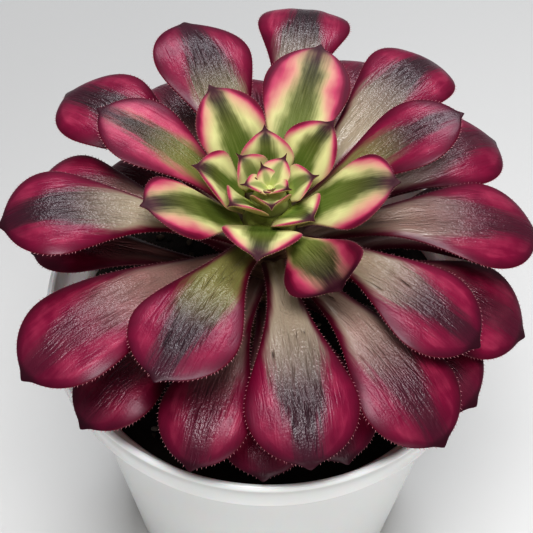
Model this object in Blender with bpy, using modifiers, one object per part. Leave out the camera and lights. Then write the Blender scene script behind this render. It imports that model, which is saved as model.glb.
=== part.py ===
"""Rosette of an aeonium growing in a plain white plant pot.

Metres, +Z up, the front of the pot towards -Y. The origin is the middle of the pot's underside.
The leaf numbers run from the middle of the rosette outwards, each one golden angle on from the last.
"""
import math

import bmesh
import bpy
from mathutils import Vector, noise

MM = 0.001
GAP = 0.3                        # clearance between neighbouring pieces, mm

# ---------------------------------------------------------------- pot, mm
POT_HEIGHT = 105.0
RIM_INNER_RADIUS = 60.0
BAND_LIP_RADIUS = 62.0           # outside of the rolled lip
BAND_RADIUS = 61.4               # outside of the band at its lower edge
BAND_DEPTH = 10.4                # height of the band below the lip
BODY_TOP_RADIUS = 56.0           # outside of the tapered body just under the band
BODY_TAPER = math.radians(8.1)   # each side, from upright
WALL = 1.6
FLOOR_TOP = 3.6
FOOT_WIDTH = 6.0                 # width of the ring that the pot stands on
UNDERSIDE_RECESS = 2.0
CENTRE_PAD_RADIUS = 11.0
DRAIN_HOLES = 6
DRAIN_RADIUS = 3.5
DRAIN_CIRCLE = 24.0
POT_STEPS = 52

# ---------------------------------------------------------------- soil and stem, mm
SOIL_BELOW_RIM = 12.0
SOIL_BUMP = 1.1
SOIL_STEPS = 36
STEM_DEPTH = 14.0                # length of stem that stands in the soil
# stem radius at heights above the rim
STEM_RADIUS = ((-30, 9.8), (-12, 9.5), (0, 9.0), (20, 8.0), (34, 7.0), (40, 5.5), (44, 3.8), (46.5, 0.8))
STEM_TOP = 40.0                  # above the rim, where the growing heart starts

# ---------------------------------------------------------------- leaves
GOLDEN_ANGLE = 137.5077
FIRST_DIRECTION = 62.5           # degrees from +X for a leaf numbered 0
HEART_LEAVES = range(-7, 1)      # the small leaves that are still folded together
FREE_LEAVES = range(1, 44)
COARSE_FROM = 33                 # the lowest leaves, hidden by the others

# Each table gives (leaf number, value) pairs, and a leaf between two of them lies in between.
TIP_DISTANCE = ((-7, 3), (-3, 5), (0, 8), (1, 10), (4, 14.5), (8, 23), (12, 36), (16, 55), (18, 64),
                (22, 71), (26, 75), (30, 73), (44, 66))                        # mm from the axis
TIP_RISE = ((-7, 48.5), (-5, 47.7), (-3, 49.5), (1, 50), (5, 52), (8, 54), (12, 55), (16, 53), (17, 44),
            (20, 37), (24, 28), (30, 20), (36, 15), (44, 10))                  # mm above the rim
ROOT_RISE = ((-7, 45.6), (0, 45.6), (1, 44.6), (4, 42.6), (8, 39), (44, 6))    # mm above the rim
BREADTH = ((-7, 3), (-3, 5.5), (0, 8), (2, 10.5), (4, 13), (6, 14.5), (8, 17), (10, 19.5), (13, 23),
           (17, 26), (22, 28.5), (30, 30))                                     # mm across
THICKNESS = ((-7, 0.9), (1, 1.3), (8, 2.0), (20, 2.9))                         # mm along the middle
ROOT_SLOPE = ((-7, 70), (0, 50), (5, 40), (8, 45), (13, 45), (20, 35), (30, 25), (44, 15))  # degrees
TIP_SLOPE = ((-7, 75), (-2, 35), (1, 15), (5, 20), (8, 25), (13, 10), (16, 0), (20, -30), (30, -40),
             (44, -35))                                                        # degrees
BROADEST_AT = ((-7, 0.38), (1, 0.38), (5, 0.42), (8, 0.54), (13, 0.68), (20, 0.75))  # of the length
ROOT_BREADTH = ((-7, 0.70), (1, 0.70), (5, 0.66), (8, 0.48), (13, 0.34), (20, 0.25))  # of the breadth
WAIST = ((8, 1.0), (13, 1.3), (20, 1.8))              # how long the leaf stays narrow
BLUNTNESS = ((-7, 1.2), (5, 1.15), (8, 0.9), (13, 0.75), (20, 0.62))
CUPPING = ((1, 0.35), (8, 0.22), (13, 0.05), (20, -0.08), (44, -0.10))  # of the half breadth
EDGE_THICKNESS = 0.7             # mm
LEAN_TOWARDS = -50.0             # degrees: the side where the outer leaves hang lower
LEAN_DROOP = ((17, 7), (28, 7), (44, 3))              # mm

# How single leaves differ: degrees turned, mm longer, mm higher, share of the breadth, twist in degrees
OWN_FORM = {
    -7: (-20, 0, 0, 1, 0), -5: (10, 0, 0, 1, 0), -4: (-10, 0, 0, 1, 0), -2: (-14, 0, 0, 1, 0),
    1: (-12, 0, 0, 1.15, 0), 2: (-7, -1.2, 0, 1.1, 0), 3: (1.5, -1.3, -3, 1, 0), 4: (-5, 0, 0, 1.05, 0),
    5: (1, -1.4, 0, 1.04, 0), 6: (-3, -3.3, -6, 1.12, 0), 7: (-1, -2, 0, 1.12, 0), 8: (2, -0.8, 0, 1, 0),
    9: (-1, -0.6, -5, 1.1, 0), 10: (-5, 0, 2, 1, 0), 11: (1, -0.7, 0, 1.2, 0), 12: (-8, -2, 0, 1.02, 0),
    13: (-0.5, 8, -4, 1.03, 0), 14: (0, -8, -6, 0.87, 34), 15: (-7, 0.5, -4, 0.9, 0),
    16: (0, -1.5, 0, 0.85, 0), 17: (0, 2.2, 0, 1.08, 0), 18: (5.5, -1.5, 0, 1.04, 12),
    19: (-4, -2, -4, 0.95, 0), 20: (0, 1, 7, 1, 0), 21: (-7, -0.8, 5, 0.93, 0), 22: (2, -3, -5.5, 1, 0),
    23: (4, -2, -0.5, 1, 0), 24: (0, -1, 1, 1, 0), 25: (-4.5, 3.5, 5.5, 0.95, 0), 26: (-5.2, 3.5, 4, 0.9, 0),
    27: (-2.5, -1.9, 0, 0.92, 0), 28: (0, -9, 2, 1, 0), 29: (-4, 0, 4, 1, 0), 30: (-3, -5, 0, 0.78, 0),
    31: (0, -8, 0, 1, 0), 32: (0, -1, 0, 1, 0), 33: (0, -22, -14, 0.7, 0), 34: (-1, 3.5, 4, 0.9, 0),
    35: (0, -9, -3, 0.8, 0), 36: (0, -16, 0, 1, 0), 38: (-8.5, 1, 1, 0.75, 0), 40: (0, 0, 2, 1, 0),
    41: (-7, -3, 0, 0.6, 0), 43: (0, -6, -5, 0.8, 0),
}
# Slopes at root and tip, in degrees, of the leaves that bend otherwise than their neighbours
OWN_SLOPES = {9: (45, -5), 14: (58, 13), 21: (40, -50), 26: (42, -60), 33: (25, -70)}
OWN_WAIST = {25: 1.2, 26: 2.4}
OWN_CUPPING = {1: 0.5, 11: -0.04, 12: -0.08}
# The leaf that opened crooked: how far the end slants forwards to its right, and how far the right edge
# is rolled up, both in shares of the half breadth, then where it is broadest, its root breadth and bluntness
OBLIQUE = {14: 0.45}
ROLLED_EDGE = {14: 0.45}
OWN_OUTLINE = {14: (0.85, 0.22, 0.54)}


def between(table, k):
    """The value of a table for leaf k."""
    if k <= table[0][0]:
        return table[0][1]
    for (k0, v0), (k1, v1) in zip(table, table[1:]):
        if k <= k1:
            return v0 + (v1 - v0) * (k - k0) / (k1 - k0)
    return table[-1][1]


def smooth(x):
    x = min(1.0, max(0.0, x))
    return x * x * (3 - 2 * x)


class LeafForm:
    """The curved middle line of one leaf and its breadth, cupping and thickness along it, all in mm."""

    def __init__(self, k):
        turn, longer, higher, broad, twist = OWN_FORM.get(k, (0, 0, 0, 1, 0))
        direction = FIRST_DIRECTION - GOLDEN_ANGLE * k + turn
        self.k = k
        self.azimuth = math.radians(direction)
        self.thick = between(THICKNESS, k)
        root_slope, tip_slope = OWN_SLOPES.get(k, (between(ROOT_SLOPE, k), between(TIP_SLOPE, k)))
        root_slope, tip_slope = math.radians(root_slope), math.radians(tip_slope)
        root_z = between(ROOT_RISE, k)
        if k in HEART_LEAVES:
            root_r = between(STEM_RADIUS, root_z) * 0.5
        else:
            root_r = between(STEM_RADIUS, root_z) + 1.5 * GAP + 0.45 * self.thick * math.sin(root_slope)
        droop = 0.0
        if k >= LEAN_DROOP[0][0]:
            droop = between(LEAN_DROOP, k) * math.cos(math.radians(direction - LEAN_TOWARDS))
        tip_z = between(TIP_RISE, k) - droop + higher
        tip_r = between(TIP_DISTANCE, k) + longer
        span = math.hypot(tip_r - root_r, tip_z - root_z)
        self.curve = [
            Vector((root_r, root_z)),
            Vector((root_r + 0.36 * span * math.cos(root_slope), root_z + 0.36 * span * math.sin(root_slope))),
            Vector((tip_r - 0.30 * span * math.cos(tip_slope), tip_z - 0.30 * span * math.sin(tip_slope))),
            Vector((tip_r, tip_z)),
        ]
        self.half = between(BREADTH, k) / 2 * broad
        self.broadest = between(BROADEST_AT, k)
        self.root_share = between(ROOT_BREADTH, k)
        self.waist = OWN_WAIST.get(k, between(WAIST, k))
        self.blunt = between(BLUNTNESS, k)
        self.cupping = OWN_CUPPING.get(k, between(CUPPING, k))
        self.twist = math.radians(twist)
        self.rolled = ROLLED_EDGE.get(k, 0.0)
        self.oblique = OBLIQUE.get(k, 0.0)
        if k in OWN_OUTLINE:
            self.broadest, self.root_share, self.blunt = OWN_OUTLINE[k]

    def half_breadth(self, t):
        if t < self.broadest:
            share = self.root_share + (1 - self.root_share) * smooth((t / self.broadest) ** self.waist)
        else:
            share = (1 - ((t - self.broadest) / (1 - self.broadest)) ** 2) ** self.blunt
        return max(self.half * share, 0.45)

    def flesh(self, t, v):
        """Thickness as a share of the thickest place."""
        edge = EDGE_THICKNESS / self.thick
        body = (1 - 0.12 * t) * min(1.0, (1 - t) / 0.25) ** 0.5
        return edge + max(body - edge, 0.0) * (1 - abs(v) ** 2.2)

    def point(self, t, v):
        """Point of the middle surface at t along the leaf and v across it, -1 to 1."""
        a, b, c, d = self.curve
        s = 1 - t
        on = a * s ** 3 + b * (3 * s * s * t) + c * (3 * s * t * t) + d * t ** 3
        along = ((b - a) * (3 * s * s) + (c - b) * (6 * s * t) + (d - c) * (3 * t * t)).normalized()
        out = Vector((math.cos(self.azimuth), math.sin(self.azimuth), 0))
        side = Vector((-out.y, out.x, 0))
        up = Vector((0, 0, along.x)) - out * along.y
        forwards = out * along.x + Vector((0, 0, along.y))
        turned = self.twist * t ** 1.5
        across = side * math.cos(turned) + up * math.sin(turned)
        up = up * math.cos(turned) - side * math.sin(turned)
        half = self.half_breadth(t)
        rise = (0.10 + (self.cupping - 0.10) * min(1.0, t / 0.6)) * half * v * v
        rise += self.rolled * half * smooth((v - 0.1) / 0.9) * smooth((t - 0.35) / 0.4)
        place = out * on.x + Vector((0, 0, POT_HEIGHT + on.y)) + across * (half * v) + up * rise
        place += forwards * (self.oblique * half * v * smooth((t - 0.3) / 0.5))
        return place * MM


def material(name, colour, roughness, metallic=0.0):
    made = bpy.data.materials.new(name)
    made.use_nodes = True
    shader = made.node_tree.nodes["Principled BSDF"]
    shader.inputs["Base Color"].default_value = (*colour, 1)
    shader.inputs["Roughness"].default_value = roughness
    shader.inputs["Metallic"].default_value = metallic
    return made


def new_object(name, mesh, home, surface=None):
    made = bpy.data.objects.new(name, mesh)
    home.objects.link(made)
    if surface:
        mesh.materials.append(surface)
    return made


def applied(made):
    """Replaces an object's mesh by the result of its modifiers."""
    graph = bpy.context.evaluated_depsgraph_get()
    mesh = bpy.data.meshes.new_from_object(made.evaluated_get(graph))
    made.modifiers.clear()
    made.data = mesh
    return mesh


def turned_shape(name, profile, steps, home, surface=None):
    """A profile of (radius, height) in mm, turned about the Z axis."""
    mesh = bpy.data.meshes.new(name)
    points = [(r * MM, 0, z * MM) for r, z in profile]
    mesh.from_pydata(points, [(i, i + 1) for i in range(len(points) - 1)], [])
    made = new_object(name, mesh, home, surface)
    screw = made.modifiers.new("turn", "SCREW")
    screw.steps = screw.render_steps = steps
    screw.use_merge_vertices = True
    screw.merge_threshold = 0.00001
    turned = applied(made)
    turned.shade_smooth()
    turned.set_sharp_from_angle(angle=math.radians(35))
    return made


def cut(target, cutter, name):
    boolean = target.modifiers.new(name, "BOOLEAN")
    boolean.operation = "DIFFERENCE"
    boolean.solver = "EXACT"
    boolean.object = cutter


def body_radius(z):
    """Outside radius of the tapered body at height z."""
    return BODY_TOP_RADIUS - (POT_HEIGHT - BAND_DEPTH - z) * math.tan(BODY_TAPER)


def inner_radius(z):
    """Inside radius of the tapered body at height z."""
    return body_radius(z) - WALL


def make_pot(home, cutters, surface):
    top, shoulder = POT_HEIGHT, POT_HEIGHT - BAND_DEPTH
    foot = body_radius(0)
    profile = [
        (0, FLOOR_TOP), (inner_radius(FLOOR_TOP) - 3, FLOOR_TOP),
        (inner_radius(FLOOR_TOP + 1) - 0.9, FLOOR_TOP + 0.9), (inner_radius(FLOOR_TOP + 3), FLOOR_TOP + 3),
        (inner_radius(shoulder - 2), shoulder - 2), (inner_radius(shoulder) + 0.9, shoulder - 0.2),
        (RIM_INNER_RADIUS - 1.6, shoulder + 0.9),
        (RIM_INNER_RADIUS - 0.5, shoulder + 1.8), (RIM_INNER_RADIUS, top - 1.2),
        (RIM_INNER_RADIUS + 0.35, top - 0.35), (RIM_INNER_RADIUS + 1, top),
        (BAND_LIP_RADIUS - 0.35, top - 0.35), (BAND_LIP_RADIUS, top - 1.1), (BAND_LIP_RADIUS - 0.35, top - 2.0),
        (BAND_RADIUS - 0.25, shoulder + 1.5), (BAND_RADIUS, shoulder + 1.0), (BAND_RADIUS, shoulder + 0.3),
        (BAND_RADIUS - 0.4, shoulder), (body_radius(shoulder) + 0.5, shoulder - 0.2),
        (body_radius(shoulder - 1.4), shoulder - 1.4), (foot + 0.35, 1.3), (foot, 0.5), (foot - 0.6, 0),
        (foot - FOOT_WIDTH, 0), (foot - FOOT_WIDTH - 0.6, UNDERSIDE_RECESS),
        (CENTRE_PAD_RADIUS + 0.6, UNDERSIDE_RECESS), (CENTRE_PAD_RADIUS, 0), (0, 0),
    ]
    pot = turned_shape("pot", profile, POT_STEPS, home, surface)
    for i in range(DRAIN_HOLES):
        angle = 2 * math.pi * (i + 0.5) / DRAIN_HOLES
        bpy.ops.mesh.primitive_cylinder_add(
            vertices=20, radius=DRAIN_RADIUS * MM, depth=4 * FLOOR_TOP * MM,
            location=(DRAIN_CIRCLE * math.cos(angle) * MM, DRAIN_CIRCLE * math.sin(angle) * MM, FLOOR_TOP * MM))
        drain = bpy.context.object
        drain.name = f"drain_cutter_{i + 1}"
        for old in list(drain.users_collection):
            old.objects.unlink(drain)
        cutters.objects.link(drain)
        drain.hide_render = True
        drain.display_type = "WIRE"
        cut(pot, drain, f"drain hole {i + 1}")
    return pot


def make_soil(home, surface):
    level = POT_HEIGHT - SOIL_BELOW_RIM
    hole = between(STEM_RADIUS, -SOIL_BELOW_RIM) + GAP
    bottom = FLOOR_TOP + GAP
    rings = [hole, 14, 19, 25, 31, 37, 43, 48.5]
    profile = [(0, level - STEM_DEPTH), (hole, level - STEM_DEPTH)]
    profile += [(r, level) for r in rings]
    profile += [(inner_radius(z) - GAP, z) for z in (level - 2.5, FLOOR_TOP + 4)]
    profile += [(inner_radius(FLOOR_TOP + 1) - GAP - 3.2, bottom), (0, bottom)]
    soil = turned_shape("soil", profile, SOIL_STEPS, home, surface)
    for vertex in soil.data.vertices:
        r = math.hypot(vertex.co.x, vertex.co.y) / MM
        if abs(vertex.co.z / MM - level) < 0.01 and r > hole + 1:
            bump = noise.noise(Vector((vertex.co.x, vertex.co.y, 0.3)) * 95)
            bump += 0.6 * noise.noise(Vector((vertex.co.x, vertex.co.y, 2.1)) * 240)
            vertex.co.z += SOIL_BUMP * MM * bump * smooth((50.5 - r) / 4)
    return soil


def make_stem(home, surface):
    foot = -SOIL_BELOW_RIM - STEM_DEPTH + GAP
    profile = [(0, STEM_TOP), (between(STEM_RADIUS, STEM_TOP) - 0.3, STEM_TOP)]
    z = STEM_TOP - 0.4
    while z > foot + 2:
        scar = 0.25 if len(profile) % 2 else 0.0        # low rings left by fallen leaves
        profile.append((between(STEM_RADIUS, z) - scar, z))
        z -= 2.6
    profile += [(between(STEM_RADIUS, foot) - 1, foot), (0, foot)]
    return turned_shape("stem", [(r, POT_HEIGHT + h) for r, h in profile], 20, home, surface)


def make_leaf(name, k, home, surface, along, across):
    """A grid bent into the middle surface of the leaf, then given its flesh."""
    form = LeafForm(k)
    mesh = bpy.data.meshes.new(name)
    grid = bmesh.new()
    bmesh.ops.create_grid(grid, x_segments=along, y_segments=across, size=0.5)
    bmesh.ops.triangulate(grid, faces=grid.faces[:], quad_method="FIXED")
    flesh = grid.verts.layers.deform.verify()
    for vertex in grid.verts:
        t = 1 - (1 - min(1.0, max(0.0, vertex.co.x + 0.5))) ** 1.25
        v = 2 * vertex.co.y
        vertex[flesh][0] = form.flesh(t, v)
        vertex.co = form.point(t, v)
    grid.to_mesh(mesh)
    grid.free()
    mesh.shade_smooth()
    leaf = new_object(name, mesh, home, surface)
    leaf.vertex_groups.new(name="flesh")
    solidify = leaf.modifiers.new("flesh", "SOLIDIFY")
    solidify.thickness = form.thick * MM
    solidify.offset = 0
    solidify.vertex_group = "flesh"
    return leaf


def make_heart(home, folded, surface):
    """The leaves round the growing point, joined to the top of the stem in one piece."""
    low = STEM_TOP + GAP
    profile = [(0, 46.6), (0.6, 46.4)]
    z = 45.7
    while z > low + 0.5:
        profile.append((between(STEM_RADIUS, z), z))
        z -= 1.5
    profile += [(between(STEM_RADIUS, low) - 0.3, low), (0, low)]
    heart = turned_shape("heart", [(r, POT_HEIGHT + h) for r, h in profile], 16, home, surface)
    for k in HEART_LEAVES:
        make_leaf(f"heart_leaf_{k + 8}", k, folded, surface, 6, 4)
    join = heart.modifiers.new("folded leaves", "BOOLEAN")
    join.operation = "UNION"
    join.solver = "EXACT"
    join.operand_type = "COLLECTION"
    join.collection = folded
    applied(heart)
    for made in list(folded.objects):
        bpy.data.objects.remove(made, do_unlink=True)
    bpy.data.collections.remove(folded)
    return heart


def main():
    for old in list(bpy.data.objects):
        bpy.data.objects.remove(old, do_unlink=True)
    scene = bpy.context.scene
    scene.unit_settings.system = "METRIC"
    plant = bpy.data.collections.new("potted_aeonium")
    cutters = bpy.data.collections.new("cutters")
    folded = bpy.data.collections.new("folded_leaves")
    for home in (plant, cutters, folded):
        scene.collection.children.link(home)
    cutters.hide_render = True

    make_pot(plant, cutters, material("white_plastic", (0.86, 0.86, 0.85), 0.28))
    make_soil(plant, material("dark_soil", (0.035, 0.024, 0.018), 0.95))
    make_stem(plant, material("stem_bark", (0.23, 0.13, 0.09), 0.8))
    make_heart(plant, folded, material("young_leaf", (0.62, 0.66, 0.27), 0.4))
    for k in FREE_LEAVES:
        age = smooth((k - 4) / 14)
        young, old = (0.55, 0.50, 0.22), (0.23, 0.02, 0.06)
        colour = tuple(a + (b - a) * age for a, b in zip(young, old))
        across = 4 if k >= COARSE_FROM else 6
        make_leaf(f"leaf_{k:02d}", k, plant, material(f"leaf_skin_{k:02d}", colour, 0.35), 9, across)


main()
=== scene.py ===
"""Potted aeonium: a rosette of waxy burgundy leaves with a yellow-green heart, in a plain white pot.

Each leaf is a sphere drawn out and bent into a spoon-shaped blade, with its fine hairs along the edge.
The leaves are numbered from the middle outwards, and each is one golden angle on from the last.
"""
import math
import random

import bpy
import numpy as np
from bpy.props import FloatProperty, FloatVectorProperty, IntProperty, PointerProperty
from bpy.types import Operator, Panel, PropertyGroup
from mathutils import Matrix, Vector, noise


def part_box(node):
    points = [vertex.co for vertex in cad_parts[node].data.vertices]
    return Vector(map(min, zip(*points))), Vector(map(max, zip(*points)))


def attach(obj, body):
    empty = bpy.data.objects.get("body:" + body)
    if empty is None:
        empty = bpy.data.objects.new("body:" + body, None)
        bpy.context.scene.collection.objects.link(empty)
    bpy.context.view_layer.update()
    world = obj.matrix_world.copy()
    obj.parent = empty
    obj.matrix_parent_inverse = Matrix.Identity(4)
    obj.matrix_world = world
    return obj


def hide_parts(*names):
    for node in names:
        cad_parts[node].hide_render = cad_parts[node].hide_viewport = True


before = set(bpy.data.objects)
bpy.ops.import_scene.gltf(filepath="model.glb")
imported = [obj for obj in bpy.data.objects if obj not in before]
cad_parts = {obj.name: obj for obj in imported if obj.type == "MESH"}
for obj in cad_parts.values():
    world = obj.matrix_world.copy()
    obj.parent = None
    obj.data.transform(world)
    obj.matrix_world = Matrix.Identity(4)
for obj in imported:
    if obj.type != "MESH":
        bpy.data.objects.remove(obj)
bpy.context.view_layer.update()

bl_info = {
    "name": "Potted aeonium",
    "version": (1, 0, 0),
    "blender": (4, 5, 0),
    "location": "View3D > Sidebar > Aeonium",
    "description": "Models an aeonium rosette in a white pot, piece by piece",
    "category": "Add Mesh",
}

MM = 0.001
POT_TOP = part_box("pot")[1].z
SMOOTH_UNDER = math.radians(40)

# ---------------- the pot, the soil and the stem: mm and degrees
GAP = 0.3
RIM_INNER = 60.0
LIP = 1.0                   # radius of the rolled lip
BAND_HEIGHT = 10.4
BODY_RADIUS = 56.0          # just under the band
BODY_TAPER = 8.1
POT_FLOOR = 3.6
DRAIN_HOLES = 6
DRAIN_RADIUS = 3.5
DRAIN_CIRCLE = 24.0         # radius of the ring that the drain holes lie on
SOIL_BELOW_RIM = 12.0
STEM_IN_SOIL = 14.0
STEM_TOP = 40.0             # above the rim, with the growing point one gap higher
CRUMB_RING = (11.0, 50.5)   # radii between which the crumbs lie

# ---------------- the plan of the rosette: mm and degrees, with heights above the rim
GOLDEN_ANGLE = 137.5077
FIRST_DIRECTION = 62.5
HEART_LEAVES = range(-7, 1)
FREE_LEAVES = range(1, 44)
LAST_INNER_LEAF = 12
STEM_RADIUS = ((-30, 9.8), (-12, 9.5), (0, 9.0), (20, 8.0), (34, 7.0), (40, 5.5), (44, 3.8), (46.5, 0.8))

# Each table gives (leaf number, value) pairs, and a leaf between two of them lies in between.
TIP_DISTANCE = ((-7, 3), (-3, 5), (0, 8), (1, 10), (4, 14.5), (8, 23), (12, 36), (16, 55), (18, 64),
                (22, 71), (26, 75), (30, 73), (44, 66))
TIP_RISE = ((-7, 48.5), (-5, 47.7), (-3, 49.5), (1, 50), (5, 52), (8, 54), (12, 55), (16, 53), (17, 44),
            (20, 37), (24, 28), (30, 20), (36, 15), (44, 10))
ROOT_RISE = ((-7, 45.6), (0, 45.6), (1, 44.6), (4, 42.6), (8, 39), (44, 6))
BREADTH = ((-7, 3), (-3, 5.5), (0, 8), (2, 10.5), (4, 13), (6, 14.5), (8, 17), (10, 19.5), (13, 23),
           (17, 26), (22, 28.5), (30, 30))
THICKNESS = ((-7, 0.9), (1, 1.3), (8, 2.0), (20, 2.9))
ROOT_SLOPE = ((-7, 70), (0, 50), (5, 40), (8, 45), (13, 45), (20, 35), (30, 25), (44, 15))
TIP_SLOPE = ((-7, 75), (-2, 35), (1, 15), (5, 20), (8, 25), (13, 10), (16, 0), (20, -30), (30, -40),
             (44, -35))
# The outline: shares of the length and of the breadth, then powers for a longer waist and a sharper end
BROADEST_AT = ((-7, 0.38), (1, 0.38), (5, 0.42), (8, 0.54), (13, 0.68), (20, 0.75))
ROOT_BREADTH = ((-7, 0.70), (1, 0.70), (5, 0.66), (8, 0.48), (13, 0.34), (20, 0.25))
WAIST = ((8, 1.0), (13, 1.3), (20, 1.8))
SHARPNESS = ((-7, 1.2), (5, 1.15), (8, 0.9), (13, 0.75), (20, 0.62))
POINTEDNESS = ((0, 0.0), (8, 0.25), (20, 0.32))     # how far the outline is drawn in before the tip
SPUR = ((-7, 1.0), (0, 1.3), (12, 1.2), (20, 1.0))  # length of the small spur at the tip
SPUR_FROM = ((2, 0.92), (13, 0.985))                # where it starts, as a share of the length
CUPPING = ((1, 0.35), (8, 0.22), (13, 0.05), (20, -0.08), (44, -0.10))     # how far the sides rise or fall
CHANNEL = ((4, 0.0), (13, 0.5), (20, 1.0))          # how deep the furrow is along the upper side
EDGE_THICKNESS = 0.7
LEAN_TOWARDS = -50.0        # the outer leaves hang lower on this side, by the droop, and higher on the other
LEAN_DROOP = ((17, 7), (28, 7), (44, 3))
# How single leaves differ: degrees turned, mm longer, mm higher, times broader, degrees twisted
TURNED = {-7: -20, -5: 10, -4: -10, -2: -14, 1: -12, 2: -7, 3: 1.5, 4: -5, 5: 1, 6: -3, 7: -1, 8: 2, 9: -1,
          10: -5, 11: 1, 12: -8, 13: -0.5, 15: -7, 18: 5.5, 19: -4, 21: -7, 22: 2, 23: 4, 25: -4.5, 26: -5.2,
          27: -2.5, 29: -4, 30: -3, 34: -1, 38: -8.5, 41: -7}
LONGER = {2: -1.2, 3: -1.3, 5: -1.4, 6: -3.3, 7: -2, 8: -0.8, 9: -0.6, 11: -0.7, 12: -2, 13: 8, 14: -8,
          15: 0.5, 16: -1.5, 17: 2.2, 18: -1.5, 19: -2, 20: 1, 21: -0.8, 22: -3, 23: -2, 24: -1, 25: 3.5,
          26: 3.5, 27: -1.9, 28: -9, 30: -5, 31: -8, 32: -1, 33: -22, 34: 3.5, 35: -9, 36: -16, 38: 1, 41: -3,
          43: -6}
HIGHER = {3: -3, 6: -6, 9: -5, 10: 2, 13: -4, 14: -6, 15: -4, 19: -4, 20: 7, 21: 5, 22: -5.5, 23: -0.5, 24: 1,
          25: 5.5, 26: 4, 28: 2, 29: 4, 33: -14, 34: 4, 35: -3, 38: 1, 40: 2, 43: -5}
BROADER = {1: 1.15, 2: 1.1, 4: 1.05, 5: 1.04, 6: 1.12, 7: 1.12, 9: 1.1, 11: 1.2, 12: 1.02, 13: 1.03, 14: 0.87,
           15: 0.9, 16: 0.85, 17: 1.08, 18: 1.04, 19: 0.95, 21: 0.93, 25: 0.95, 26: 0.9, 27: 0.92, 30: 0.78,
           33: 0.7, 34: 0.9, 35: 0.8, 38: 0.75, 41: 0.6, 43: 0.8}
TWISTED = {14: 34, 18: 12}
OWN_SLOPES = {9: (45, -5), 14: (58, 13), 21: (40, -50), 26: (42, -60), 33: (25, -70)}
OWN_WAIST = {25: 1.2, 26: 2.4}
OWN_CUPPING = {1: 0.5, 11: -0.04, 12: -0.08}
OWN_OUTLINE = {14: (0.85, 0.22, 0.54, 0.5)}   # broadest at, root breadth, sharpness, pointedness
OBLIQUE = {14: 0.45}        # how far one side of the end is drawn forwards and the other back
ROLLED_EDGE = {14: 0.45}    # how far the forward side is rolled up; both are shares of the half breadth
# Soft folds along a leaf, broad and fine: height, length and breadth, then the step and the start of the seed
FOLDS = ((0.26, 16, 5.5, 7.3, 0), (0.11, 8, 2.1, 3.1, 50))
# Hairs of leaves numbered under this: shares of the set spacing, length and width
HAIR_SHARES = ((9, (0.72, 0.45, 0.6)), (15, (0.85, 0.7, 0.8)), (99, (1.0, 1.0, 1.0)))
HAIR_ROOT = 0.12            # how deep a hair starts inside the leaf

# ---------------- looks of the leaves, and the stage
# Age of the colours, from 0 for yellow-green to 1 for burgundy
COLOUR_AGE = ((1, 0.0), (5, 0.15), (8, 0.25), (14, 0.50), (15, 0.70), (16, 0.90), (18, 1.0))
STRIPE_CLEARNESS = ((-7, 0.55), (0, 0.75), (5, 1.0), (12, 1.0), (23, 0.95), (28, 0.60), (44, 0.40))
OWN_CLEARNESS = {16: 0.9, 19: 0.85, 24: 0.70, 25: 0.55, 26: 1.0, 27: 0.75, 29: 0.75}
STRIPE_BREADTH = {13: 0.85, 14: 1.3, 15: 0.82, 16: 0.88}        # times the usual breadth
GREENNESS = ((14, 1.0), (17, 0.9), (19, 0.25), (24, 0.0))       # of the stripe's narrow part
CAMERA_AIM = Vector((-0.5 * MM, 10 * MM, POT_TOP))
# Soft lights: name, place and size in metres, share of the key light's strength, colour
LIGHTS = (
    ("overhead_light", (0.0, -0.22, 1.05), (0.40, 0.40), 1.0, (0.98, 0.985, 1.0)),
    ("window_light", (0.10, 0.70, 1.00), (0.6, 0.4), 1.1, (0.93, 0.96, 1.0)),
    ("front_light", (0.30, -1.30, 0.50), (0.9, 0.6), 0.8, (1.0, 0.985, 0.96)),
)


def between(table, k):
    """The value of a table for leaf k, or of a profile at a height."""
    if k <= table[0][0]:
        return table[0][1]
    for (k0, v0), (k1, v1) in zip(table, table[1:]):
        if k <= k1:
            return v0 + (v1 - v0) * (k - k0) / (k1 - k0)
    return table[-1][1]


def smooth(x):
    """A soft step that rises from 0 at 0 to 1 at 1."""
    x = np.clip(x, 0.0, 1.0)
    return x * x * (3 - 2 * x)


# ---------------- modelling helpers
def select(*pieces):
    """Leaves edit mode and selects these objects and no others, with the first one active."""
    if bpy.context.object and bpy.context.object.mode != "OBJECT":
        bpy.ops.object.mode_set(mode="OBJECT")
    bpy.ops.object.select_all(action="DESELECT")
    for piece in reversed(pieces):
        piece.select_set(True)
        bpy.context.view_layer.objects.active = piece


def named(name):
    """The active object, under a new name."""
    piece = bpy.context.object
    piece.name = name
    piece.data.name = name
    return piece


def added(name, add, **values):
    """The object that this operator adds, under its own name."""
    select()
    add(**values)
    return named(name)


def joined(name, pieces):
    """Several objects as one, under a new name."""
    select(*pieces)
    bpy.ops.object.join()
    return named(name)


def places(piece):
    """The corners of a mesh as rows of x, y and z."""
    found = np.empty(len(piece.data.vertices) * 3)
    piece.data.vertices.foreach_get("co", found)
    return found.reshape(-1, 3)


def move_corners(piece, corners):
    """Puts the corners of a mesh at these rows of x, y and z."""
    piece.data.vertices.foreach_set("co", np.ravel(corners).astype(np.float32))
    piece.data.update()


def multiply(piece, copies):
    """Gives an object many copies of its mesh; each copy is given by its corners."""
    first, piece.data = piece.data, bpy.data.meshes.new(piece.name)
    step = len(first.vertices)
    faces = [[start + n for n in face.vertices] for start in range(0, step * len(copies), step)
             for face in first.polygons]
    piece.data.from_pydata([tuple(corner) for copy in copies for corner in copy], [], faces)
    bpy.data.meshes.remove(first)
    piece.data.name = piece.name


def write_attribute(piece, name, rows):
    """Gives each corner three numbers that a material can read."""
    layer = piece.data.attributes.new(name, "FLOAT_VECTOR", "POINT")
    layer.data.foreach_set("vector", np.ravel(rows).astype(np.float32))


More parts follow.
